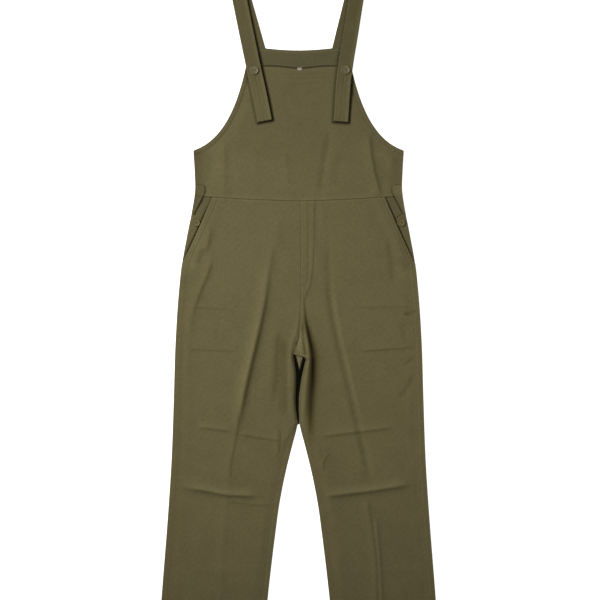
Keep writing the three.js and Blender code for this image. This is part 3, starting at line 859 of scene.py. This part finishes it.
def bibHeight(x, y):
    down, up, arm = bibTopAt(x) - y, y - waistAt(x), armDistance(x, y)
    z = frontHeight(x, y) + doubled(down, bib["hem"], 1.4, 1) + doubled(arm, bib["armHem"], 1.2, 0.9)
    z += doubled(up, bib["seamAllowance"], 1.6, 0.8) + groove(down, bib["hem"], 0.3)
    z += groove(arm, bib["armHem"], 0.3) + groove(arm, bib["armLine"], 0.14)
    for at in bib["hemLines"]:
        z += groove(down, at, 0.12)
    z += edgeRoll(arm, 1.5) + edgeRoll(down, 1.3) + edgeRoll(up, 1.0)
    return z + edgeRoll(sideDistance(x, y), 1.7)


# The round-cornered side tabs. Each dim is a painted shade on the left tab and on the right one, a painted
# highlight where it is below zero.
tab = {
    "topY": 252, "inner": 205, "corner": 9, "turnY": 234.3, "tipY": 187, "tipHalf": 229.5,
    "dim": (0.27, -0.18), "edgeDim": (0.33, 0.75), "lowDim": (0, 0.16), "line": 5.5, "lift": 2.0,
    "flat": (28, 62),
}


def tabEdge(y):
    up = np.clip(y - (tab["topY"] - tab["corner"]), 0, tab["corner"])
    rounded = tab["inner"] + tab["corner"] - np.sqrt(np.maximum(0, tab["corner"] ** 2 - up**2))
    slope = (tab["tipHalf"] - tab["inner"]) / (tab["turnY"] - tab["tipY"])
    return np.where(y < tab["turnY"], tab["inner"] + slope * (tab["turnY"] - y), rounded)


# Darker along the armhole hem and down the left side, painted shade beside the tabs, the folds and the
# straps and towards the top, and painted highlights above the waist seam and by the right armhole.
def bibShade(x, y):
    spec, arm = bib["dark"], armDistance(x, y)
    dark = spec["armHem"] * smoothstep(bib["armHem"] + 0.8, bib["armHem"] - 0.8, arm)
    dark += spec["armHemEdge"] * bell(arm - bib["armHem"], 1.5)
    dark += spec["armLine"] * bell(arm - bib["armLine"], 1.2)
    low = smoothstep(cut["chestY"] + 4, cut["chestY"] - 8, y) * (x < 0)
    dark += spec["leftSide"] * smoothstep(42, 3, sideHalf(y) - np.abs(x)) * low
    dark += spec["waist"] * bell(y - waistAt(x) - 3.2, 1.6)
    dark += spec["top"] * smoothstep(280, 350, y) * mix(1, 0.45, smoothstep(-10, 120, x))
    fromTab = tabEdge(y) - np.abs(x) - 0.6
    dark += np.where(x < 0, *spec["besideTab"]) * bell(fromTab, 1.5) * (y < tab["topY"] - 3)
    dark += spec["rightArmhole"] * smoothstep(22, 4, arm) * (x > 0)
    return np.minimum(dark + foldShade(x, y) + strapShade(x, y), spec["most"])


waistX = np.linspace(-225, 225, 160)
lines = [(hemX, bibTopAt(hemX) - bib["hem"]), (waistX, waistAt(waistX) + bib["waistLine"])]
# An armhole's stitch line runs inside its curve.
armIn = unit(np.gradient(armCurve, axis=0))[:, ::-1] * (1, -1)
for sign in sides.values():
    for inset in (bib["armHem"], bib["armLine"]):
        path = armCurve - armIn * inset * np.sign(armIn[30, 0])
        path = path[(path[:, 1] < cut["bibTopY"] - 2) & (path[:, 0] < cut["chestHalf"] - 3)]
        lines.append((sign * path[:, 0], path[:, 1]))
bibEdge = [0, 0.5, 1.1, 1.9, 2.6, 3.4, 4.6, 6.5, 8.3, 9, 9.7, 10.4, 11.4, 13]


# Shares of the way between two heights, from stretches of even steps going down.
def sharesDown(start, end, stretches):
    ys = np.concatenate([np.arange(top, bottom, -step) for top, bottom, step in stretches])
    return (start - ys) / (start - end)


layPanel(
    "frontBib", (*mirrored(frontArm), bibTopAt, lambda x: waistAt(x) + cut["seamGap"] / 2),
    gridLines(bibEdge, bibEdge, 190),
    gridLines(
        [0, 0.5, 1.1, 1.9, 3, 5, 8, 11.8, 12.6, 13.4, 16, 20, 23.2, 24, 24.8, 28, 31, 32.4, 33, 33.8, 35],
        [0, 0.4, 0.9, 1.6, 2.4, 4, 6, 7.5, 8.5, 9.5, 11],
        sharesDown(470, 232, [(470, 366, 2.6), (366, 322, 1.5), (322, 234, 3.2)]),
    ),
    bibHeight, frontTwill, shade=bibShade, lines=lines,
)
print("front bib laid")

# The front legs, cut away along the pocket mouths. The right one has the mock fly.
leg = {
    "flat": (312, 1012), "outerAllowance": 12.5, "innerAllowance": 10.6, "hem": 25,
    "mouthLines": (6, 12),
    "mouthLean": 0.91,  # from a distance along X to one square to the mouth
    "seamLine": 1.7,
    # darkness painted on the legs, lighter below zero: painted shade at the gap, towards the hems and beside
    # the centre seam lower down, painted highlights at the centre seam, below the waist, down the right side
    # and by the left inseam, and darker down the left side and along the pocket mouth's stitch lines
    "dark": {
        "turned": 0.5, "seam": -0.22, "rightSide": -0.21, "rightEdge": -0.08, "leftSide": 0.09, "low": 0.05,
        "waist": -0.09, "besideSeam": (0.05, 0.06), "leftInseam": -0.06, "mouthLines": 0.1,
        "limits": (-0.5, 0.96),
    },
}
fly = {
    "inner": [(19.6, 215), (20, 120), (20.2, 66), (19.6, 48), (16.6, 37), (12.4, 31.5), (5.6, 29.4)],
    "outer": [
        (36, 217), (34.3, 129), (31.5, 70), (28.4, 40), (25.3, 28), (19.6, 14), (15.2, 2), (13.2, -12),
    ],
    "bartack": [(5, 46), (14.2, 24)],
    "step": 0.7,
}
flyInner, flyOuter = smoothPath(fly["inner"], 40), smoothPath(fly["outer"], 40)


def outerEdge(y):
    return np.where(y > cut["mouth"][0][0], np.minimum(mouthHalf(y), sideHalf(y)), sideHalf(y))


def legHeight(sign, x, y):
    fromOuter, fromInner = outerEdge(y) - sign * x, np.abs(innerEdge(sign, y) - x)
    down, up = waistAt(x) - y, y - cut["hemY"]
    mouth, seam, apart = smoothstep(78, 92, y), smoothstep(-118, -100, y), smoothstep(-262, -280, y)
    z = frontHeight(x, y) + doubled(fromOuter, leg["outerAllowance"], 1.2, 1)
    z += groove(fromOuter, leg["outerAllowance"], 0.16) * (1 - mouth)
    allowance = leg["innerAllowance"]
    z += (doubled(fromInner, allowance, 1.2, 1) + groove(fromInner, allowance, 0.22)) * apart
    z += doubled(up, leg["hem"], 1.4, 1) + groove(up, leg["hem"], 0.25)
    for at in leg["mouthLines"]:
        z += groove(fromOuter * leg["mouthLean"], at, 0.22) * mouth
    z += 0.3 * bell(down - 2.3, 1.3) + groove(fromInner, leg["seamLine"], 0.12) * seam
    z += edgeRoll(fromOuter, 1.5) + edgeRoll(fromInner, 1.1) * (1 - 0.6 * seam)
    z += edgeRoll(down, 1.1) + edgeRoll(up, 1.2)
    return z + flyHeight(x, y) if sign > 0 else z


# The fly's doubled cloth: raised as far as its outer line, with a groove along its stitched line.
def flyHeight(x, y):
    lift = np.zeros(x.shape)
    near = (x < 60) & (y > -20)
    inside, off = (fromPath(path, x[near], y[near])[0] for path in (flyInner, flyOuter))
    z = fly["step"] * smoothstep(1.1, -1.3, off) + 0.35 * bell(off + 5, 3) - 0.3 * bell(inside, 1.1)
    lift[near] = z * smoothstep(-14, 12, y[near])
    return lift


def flyShade(x, y):
    dark = np.zeros(x.shape)
    near = (x > 3) & (x < 60) & (y > -20)
    for path, amount in ((flyInner, 0.14), (flyOuter, 0.06)):
        dark[near] += amount * bell(fromPath(path, x[near], y[near])[0], 1.6)
    return dark


# The left leg's edge turns down into painted shade at the gap, with painted shade beside the folds and in
# the valley right of the crotch. The right leg's side is lighter, with a painted highlight.
def legShade(x, y):
    spec = leg["dark"]
    edge, right, side = innerEdge(-1, y) - x, x - innerEdge(1, y), sideHalf(y) - x
    turned = spec["turned"] * smoothstep(4, 0.5, edge) * smoothstep(1.5, 0, -edge)
    gap = smoothstep(cut["legsPartY"] + 2, cut["legsPartY"] + 20, y) * smoothstep(-118, -130, y)
    dark = foldShade(x, y) + turned * gap + valleyShade(x, y) + flyShade(x, y)
    dark += spec["seam"] * bell(x - cut["seamX"], 1.6) * smoothstep(-20, 30, y)
    rim = spec["rightSide"] * bell(side - 15.5, 8) + spec["rightEdge"] * smoothstep(9, 3, side)
    rim = np.where(x > 0, rim, spec["leftSide"] * smoothstep(60, 20, sideHalf(y) + x))
    dark += rim * smoothstep(78, 50, y) + spec["low"] * smoothstep(-560, -760, y)
    dark += spec["waist"] * bell(waistAt(x) - y - 3.4, 1.6)
    near = spec["besideSeam"][1] * smoothstep(95, 35, right) * (right > 0)
    near += spec["besideSeam"][0] * smoothstep(42, 12, edge) * (edge > 0) * (y > -290)
    dark += near * smoothstep(-20, -60, y)
    dark += spec["leftInseam"] * bell(edge - 12, 7) * smoothstep(-290, -320, y)
    for at in leg["mouthLines"]:
        beside = (outerEdge(y) - np.abs(x)) * leg["mouthLean"] - at
        dark += spec["mouthLines"] * bell(beside, 1.1) * smoothstep(78, 92, y)
    return np.clip(dark, *spec["limits"])


legInner = [
    0, 0.5, 1.1, 1.9, 3, 4.4, 6, 7.6, 9, 9.9, 10.6, 11.4, 12.4, 13.4, 14.4, 15.6, 17.5, 19.5,
    21.5, 23.5, 25, 26, 27, 28, 29.5, 31.5, 34,
]
legOuter = [0, 0.5, 1.1, 1.9, 3, 4.6, 5.6, 6.4, 7.2, 8.6, 10.2, 11.4, 12.2, 13, 13.8, 15.2, 17.5]
legRows = gridLines(
    [0, 0.4, 0.9, 1.6, 2.6, 4, 6, 9], [0, 0.4, 0.9, 1.6, 3, 6, 12, 18, 22, 24, 25, 26, 28, 31],
    sharesDown(207, -759, [
        (202, 40, 3.2), (40, -80, 2.6), (-80, -140, 1.4), (-140, -300, 2.4), (-300, -450, 2.8),
        (-450, -758, 4.2),
    ]),
)
for side, sign in sides.items():
    height = lambda x, y: legHeight(sign, x, y)
    inner = lambda y: innerEdge(sign, y)
    outer = lambda y: sign * outerEdge(y)
    ys = np.linspace(212, -790, 320)
    low, mouth, apart, seam = ys[ys < 66], ys[(ys > 82) & (ys < 205)], ys[ys < -300], ys[ys > -70]
    acrossHem = np.linspace(inner(-765.0) + sign * 3, outer(-765.0) - sign * 3, 60)
    lines = [
        (outer(low) - sign * leg["outerAllowance"], low),
        *((outer(mouth) - sign * at / leg["mouthLean"], mouth) for at in leg["mouthLines"]),
        (inner(apart) + sign * leg["innerAllowance"], apart),
        (acrossHem, cut["hemY"] + leg["hem"]),
    ]
    if sign > 0:
        lines.extend([(inner(seam) + leg["seamLine"], seam), flyInner.T, (flyOuter - (0.6, 0)).T])
        (x0, y0), (x1, y1) = fly["bartack"]
        lines.extend(([x0, x1], [row, row - 1]) for row in np.linspace(y0, y1, 9))
    layPanel(
        f"frontLeg{side.title()}",
        (*onSide(sign, lambda y: sign * inner(y), outerEdge),
         lambda x: waistAt(x) - cut["seamGap"] / 2, cut["hemY"]),
        gridLines(*(legInner, legOuter)[::sign], 60), legRows, height, legTwill, turn=3 * sign,
        shade=legShade, lines=lines,
    )
print("front legs laid")

# The side openings: a facing behind each pocket mouth, a placket on it and a round-cornered tab.
opening = {
    "facingFlat": (66, 162), "facingTop": 2.5,
    "placketFlat": (30, 48), "placketTop": 3.8, "placketEnd": 184, "placketLines": (4.5, 8.5, 12.5),
    "clear": 0.6,
}


def fromMouth(x, y):
    return (np.abs(x) - mouthHalf(y)) * leg["mouthLean"]


def openingFacingHeight(x, y):
    edge = sideHalf(y) - np.abs(x)
    return opening["facingTop"] + 0.2 * rippleHeight(x, y * 1.5) + edgeRoll(edge, 1.3)


# Painted shade under the edge of the pocket mouth, least at the waist, and a little darkness over the whole
# facing.
def slotShade(x, y):
    low, reach = np.where(x < 0, 0.75, 0.5), np.where(x < 0, 6.5, 4.5)
    dark = mix(low, 0.25, smoothstep(178, 216, y)) * mix(0.4, 1, smoothstep(80, 114, y))
    return 0.1 + dark * smoothstep(reach, 1, fromMouth(x, y))


def placketEnd(x):
    return opening["placketEnd"] + 0.75 * (np.abs(x) - 222)


# Painted shade of the slot, painted shadow beside the tab, and darker stitched lines.
def placketShade(x, y):
    beside = np.where(x < 0, 0.4 * smoothstep(184, 200, y), 0.5)
    dark = np.maximum(slotShade(x, y), 0.1 + beside * smoothstep(4, 0.8, tabEdge(y) - np.abs(x)))
    return dark + 0.13 * sum(bell(fromMouth(x, y) - at, 0.9) for at in opening["placketLines"])


def placketHeight(x, y):
    z = opening["placketTop"] + edgeRoll(fromMouth(x, y), 0.7) + edgeRoll(y - placketEnd(x), 0.9)
    z += 1.1 * smoothstep(14, 0, waistAt(x) - y)
    return z + sum(groove(fromMouth(x, y), at, 0.3, 0.9) for at in opening["placketLines"])


def tabHeight(x, y):
    inside = (np.abs(x) - tabEdge(y)) * np.where(y < tab["turnY"], 0.8, 1)
    z = frontHeight(x, y) + tab["lift"] + groove(inside, tab["line"], 0.25, 0.9) + groove(y, waistAt(x), 0.4)
    z += edgeRoll(inside, 1.1) + edgeRoll(tab["topY"] - y, 1.1)
    return z + edgeRoll(sideHalf(y) - np.abs(x), 1.4)


# Painted shade on the left tab and a painted highlight on the right one, painted shade below the waist on
# the right, painted shadow along the inner edge, and dark where the waist seam crosses it.
def tabShade(x, y):
    inside = np.minimum(np.abs(x) - tabEdge(y), tab["topY"] - y)
    dim, edgeDim, lowDim = (np.where(x < 0, *tab[name]) for name in ("dim", "edgeDim", "lowDim"))
    edgeDim = edgeDim * np.where(x < 0, smoothstep(194, 207, y), 1)
    dark = dim + lowDim * smoothstep(0, 3, waistAt(x) - y) + edgeDim * bell(inside, 1.5)
    return dark + 0.22 * bell(y - waistAt(x), 1.3)


for side, sign in sides.items():
    name = side.title()
    layPanel(
        f"pocketFacing{name}",
        (*onSide(sign, lambda y: mouthHalf(y) - lay["pocketTuck"], lambda y: sideHalf(y) - cut["seamGap"]),
         lambda x: waistAt(x) - 0.2, lay["pocketEndY"]),
        gridLines([0, 4], [0, 0.5, 1.2, 2.2], 40), gridLines([0, 1], [0, 1], 64),
        openingFacingHeight, frontTwill, turn=3 * sign, shade=slotShade,
    )
    ys = np.linspace(214, opening["placketEnd"] - 1, 24)
    layPanel(
        f"sidePlacket{name}",
        (*onSide(sign, lambda y: mouthHalf(y) + opening["clear"], lambda y: tabEdge(y) - opening["clear"]),
         lambda x: waistAt(x) + 0.6, placketEnd),
        gridLines([0, 0.3, 0.8, 1.5], [0, 0.4, 1], 24), gridLines([0, 1], [0, 0.4, 1, 1.8], 24),
        placketHeight, frontTwill, turn=20 * sign, wall=0.8, shade=placketShade,
        lines=[(sign * (mouthHalf(ys) + at / leg["mouthLean"]), ys) for at in opening["placketLines"]],
    )
    ys = np.linspace(tab["topY"] - tab["line"], 204, 30)
    acrossX = np.linspace(tab["inner"] + tab["line"], 225, 12)
    layPanel(
        f"sideTab{name}",
        (*onSide(sign, tabEdge, lambda y: sideHalf(y) - 0.4), tab["topY"], tab["tipY"]),
        gridLines([0], [0], np.linspace(0, 1, 34)[1:-1]),
        gridLines([0, 0.2, 0.6, 1.2, 2, 3, 4.4, 6, 8], [0, 0.5, 1.2], 36),
        tabHeight, frontTwill, wall=1.0, shade=tabShade,
        lines=[(sign * (tabEdge(ys) + tab["line"]), ys), (sign * acrossX, tab["topY"] - tab["line"])],
    )
print("side openings laid")


# The straps: each a flattened tube up the back, over the shoulder fold and down to its tail on the bib.
# The strip's underside over the bib follows the bib's top face.
def strapUnder(x, y):
    overFold = strap["turn"] * 2
    low = np.minimum(y, cut["bibTopY"])
    onBib = np.max([frontHeight(x + k * strap["width"], low) for k in (-0.5, -0.25, 0, 0.25, 0.5)], axis=0)
    onBib = np.maximum(onBib + strap["clear"], overFold)
    return mix(onBib, overFold, smoothstep(cut["bibTopY"] + 4, cut["bibTopY"] + 90, y))


# Middles of the strip, from its back end to its tail, and the directions across and out of it.
def strapRoute(spec):
    half = strap["thick"] / 2
    middleX = through(spec["front"])
    topY, topX = spec["front"][-1]
    y = np.linspace(spec["front"][0][0], topY, 165)
    x = middleX(y)
    front = np.column_stack([x, y, strapUnder(x, y) + half])
    lean = math.atan2(topX - middleX(topY - 60), 60)
    turns = np.radians(np.linspace(0, 180, 17)[1:-1])
    out = strap["turn"] * np.sin(turns)
    fold = np.column_stack([
        topX + out * math.sin(lean), topY + out * math.cos(lean), half + strap["turn"] * (1 + np.cos(turns)),
    ])
    y = np.linspace(topY, strap["backY"], 95)
    rear = np.column_stack([mix(topX, spec["backX"], (topY - y) / (topY - strap["backY"])), y, 0 * y + half])
    middle = np.vstack([front, fold, rear])
    along = unit(np.gradient(middle, axis=0))
    flat = unit(along[:, :2] + 1e-9)
    across = np.column_stack([flat[:, 1], -flat[:, 0], 0 * flat[:, 0]]) * np.sign(along[:, 1:2])
    across[len(front) - 1:len(front) + len(fold) + 1] = (math.cos(lean), -math.sin(lean), 0)
    for _ in range(4):
        across[1:-1] = unit(across[:-2] + across[1:-1] + across[2:])
    outward = unit(np.cross(across, along))
    # the back end is cut along the bib's top edge
    slant = smoothstep(len(middle) - 10, len(middle) - 1, np.arange(len(middle)))[:, None]
    across = mix(across, np.array([1 / abs(flat[-1, 1]), 0, 0]), slant)
    return middle[::-1], across[::-1], outward[::-1], runOf(middle)[::-1]


# The strip's section: places across it and out of it, going round.
def tapeSection():
    radius = strap["thick"] / 2
    half = strap["width"] / 2 - radius
    across = np.sort([*np.linspace(-half, half, 17), -1.2, -0.6, 0.6, 1.2, 5.2 - half, half - 5.2])
    turn = np.radians(np.linspace(72, -72, 5))
    edge, rise = half + radius * np.cos(turn), radius * np.sin(turn)
    a = np.concatenate([across, edge, across[::-1], -edge[::-1]])
    n = np.concatenate([0 * across + radius, rise, 0 * across - radius, rise[::-1]])
    return a, n


for side in sides:
    middle, across, outward, run = strapRoute(strap[side])
    a, n = tapeSection()
    outer = n > strap["thick"] / 2 - 0.01
    front = (run < 400)[:, None]
    tail = smoothstep(strap["creaseTop"] + 2, strap["creaseTop"] - 6, middle[:, 1])[:, None] * front
    pressed = -0.4 * bell(a, 0.8) + 0.15 * bell(a + 2.5, 1.6)
    turned = 0.12 * smoothstep(6.4, 4.2, strap["width"] / 2 - np.abs(a)) * front
    wave = 0.14 * np.sin(run / 23)[:, None] * front
    raised = n + (tail * pressed + turned + wave * np.sin(a / 7 + 1)) * outer
    points = middle[:, None] + across[:, None] * a[:, None] + outward[:, None] * raised[..., None]
    ring = runOf(np.column_stack([a, n]))
    weave = np.stack(np.broadcast_arrays(ring, run[:, None], 0), axis=-1)
    # The rear run takes the painted shadow of the strip over it, the strip itself a painted shade towards
    # the shoulder and the tail, and a painted highlight along the right edge of its front run.
    top, low = strap[side]["dim"]
    paintedDim = mix(low, top, smoothstep(430, 530, points[..., 1]))
    shade = smoothstep(398, 408, run)[:, None] * strapShade(points[..., 0], points[..., 1])
    shade = np.maximum(shade, paintedDim) - 0.2 * smoothstep(5, 15, a) * outer * front
    piece = clothPiece(f"strap{side.title()}Cloth", points, weave, shade, strap["wall"], True)
    settle(piece, frontTwill, f"strap{side.title()}")
print("straps laid")

# Two-holed buttons with a thick rim and a dished face.
buttons = {
    "strap": {"radius": 10, "thick": 3, "rim": 1.8, "dish": 0.9, "hole": 1.1, "spread": 1.7},
    "side": {"radius": 9, "thick": 2.6, "rim": 1.6, "dish": 0.8, "hole": 1.0, "spread": 1.6},
    "strapAt": {"left": (-97.7, 502.3), "right": (103, 503.4)},
    "sideAt": (225.4, 168, 2.8),
    "aboveStrap": 0.35,
    "threadRadius": 0.42,
}


# Quads between rings of count points that follow one another.
def ringFaces(rings, count):
    return [
        (i * count + k, i * count + (k + 1) % count, (i + 1) * count + (k + 1) % count, (i + 1) * count + k)
        for i in range(rings - 1) for k in range(count)
    ]


def spun(profile, count):
    turns = np.linspace(0, 2 * np.pi, count, endpoint=False)
    points = [(r * math.cos(t), r * math.sin(t), z) for r, z in profile for t in turns]
    ends = [range(count)[::-1], range(count * len(profile))[-count:]]
    return np.array(points), ringFaces(len(profile), count) + ends


def makeButton(name, kind, at):
    radius, thick, rim, dish, hole, spread = buttons[kind].values()
    points, faces = spun([
        (radius - 1.3, 0), (radius - 0.5, 0.35), (radius, thick * 0.45), (radius - 0.15, thick * 0.7),
        (radius - 0.5, thick * 0.9), (radius - rim * 0.6, thick), (radius - rim, thick * 0.93),
        (radius - rim * 1.3, thick - dish * 0.7), (radius - rim * 1.7, thick - dish),
        (radius * 0.4, thick - dish * 0.9), (radius * 0.15, thick - dish * 0.85),
    ], 56)
    piece = meshPiece(name, points + at, faces)
    drills = []
    for way in (-1, 1):
        rod, rodFaces = spun([(hole, -2), (hole, 5)], 24)
        drills.append(meshPiece("drill", rod + (way * spread, 0, 0) + at, rodFaces))
        cutting = piece.modifiers.new("hole", "BOOLEAN")
        cutting.object, cutting.solver = drills[-1], "EXACT"
    made = bpy.data.meshes.new_from_object(piece.evaluated_get(bpy.context.evaluated_depsgraph_get()))
    piece.modifiers.clear()
    piece.data = made
    for drill in drills:
        bpy.data.objects.remove(drill)
    made.set_sharp_from_angle(angle=math.radians(50))
    settle(piece, buttonLooks[kind], name)
    # two turns of thread from hole to hole
    top = thick - dish
    turns = np.linspace(0, 2 * np.pi, 8, endpoint=False)
    half = [(0, top + 0.6), (0.75, top + 0.45), (1, top), (1, 0.6)]
    arch = [(-x, z) for x, z in half[:0:-1]] + half
    aside, thickness = np.array((0, 1, 0)), buttons["threadRadius"]
    bars, barFaces = [], []
    for offset in (-0.5, 0.5):
        path = np.array([(x * spread, offset, z) for x, z in arch])
        barFaces.extend([k + len(bars) for k in face] for face in ringFaces(len(path), 8))
        for spot, way in zip(path, unit(np.gradient(path, axis=0))):
            up = np.cross(way, aside)
            bars.extend(spot + thickness * (math.cos(t) * up + math.sin(t) * aside) for t in turns)
    settle(meshPiece(f"{name}Thread", np.array(bars) + at, barFaces), threadLook)


for side, sign in sides.items():
    x, y = buttons["strapAt"][side]
    z = float(strapUnder(np.array([x]), np.array([y]))[0]) + strap["thick"] + buttons["aboveStrap"]
    makeButton(f"strapButton{side.title()}", "strap", (x, y, z))
    x, y, z = buttons["sideAt"]
    makeButton(f"sideButton{side.title()}", "side", (sign * x, y, z))
print("buttons sewn on")

# The plain loop label under the back facing. It lies over the front bib's edge.
label = {"x": 2.5, "width": 10.4, "drop": 6.6, "corner": 4, "top": 2.3, "rise": 2.6, "flat": (11, 11)}
labelTop = float(facingLowAt(label["x"])) - cut["seamGap"]


def labelHeight(x, y):
    t = (x - label["x"]) / label["width"]
    return label["top"] + 0.4 * np.cos(t * 3) + label["rise"] * smoothstep(labelTop, labelTop - 5, y)


# Half the tape's width, less at its two round corners.
def labelHalf(y):
    t = np.clip(1 - (y - labelTop + label["drop"]) / label["corner"], 0, 1)
    return label["width"] / 2 - label["corner"] * (1 - np.sqrt(1 - t**2))


layPanel(
    "neckLabel",
    (lambda y: label["x"] - labelHalf(y), lambda y: label["x"] + labelHalf(y),
     labelTop, labelTop - label["drop"]),
    gridLines([0], [0], np.linspace(0, 1, 14)[1:-1]), gridLines([0, 0.5], [0, 0.1, 0.3, 0.7, 1.2, 2], 8),
    labelHeight, labelLook, wall=0.5, kind="Tape",
)

# Camera straight above, a raking key light from the upper left, and a wide one overhead.
view = {"lens": 100, "at": (0.0031, -0.0022, 3.667)}
lamps = {
    "key": {"at": (-1.6, 1.2, 1.5), "aim": (0, 0, 0), "size": 0.6, "power": 46},
    "overhead": {"at": (-0.04, -0.1, 1.0), "aim": (-0.02, -0.05, 0), "size": 0.8, "power": 4.3},
}
fill = {"strength": 0.094, "colour": (1, 1, 1, 1)}
cameraData = bpy.data.cameras.new("camera")
cameraData.lens = view["lens"]
camera = bpy.data.objects.new("camera", cameraData)
camera.location = view["at"]
scene.collection.objects.link(camera)
scene.camera = camera
for name, spec in lamps.items():
    lampData = bpy.data.lights.new(name, "AREA")
    lampData.shape, lampData.size, lampData.energy = "SQUARE", spec["size"], spec["power"]
    lamp = bpy.data.objects.new(name, lampData)
    lamp.location = spec["at"]
    aim = mathutils.Vector(spec["aim"]) - lamp.location
    lamp.rotation_euler = aim.to_track_quat("-Z", "Y").to_euler()
    lamp.visible_camera = False
    scene.collection.objects.link(lamp)
world = bpy.data.worlds.new("studio")
world.use_nodes = True
sky = world.node_tree.nodes["Background"]
sky.inputs["Color"].default_value = fill["colour"]
sky.inputs["Strength"].default_value = fill["strength"]
scene.world = world
scene.view_settings.view_transform = "Standard"
print("camera and lights placed")
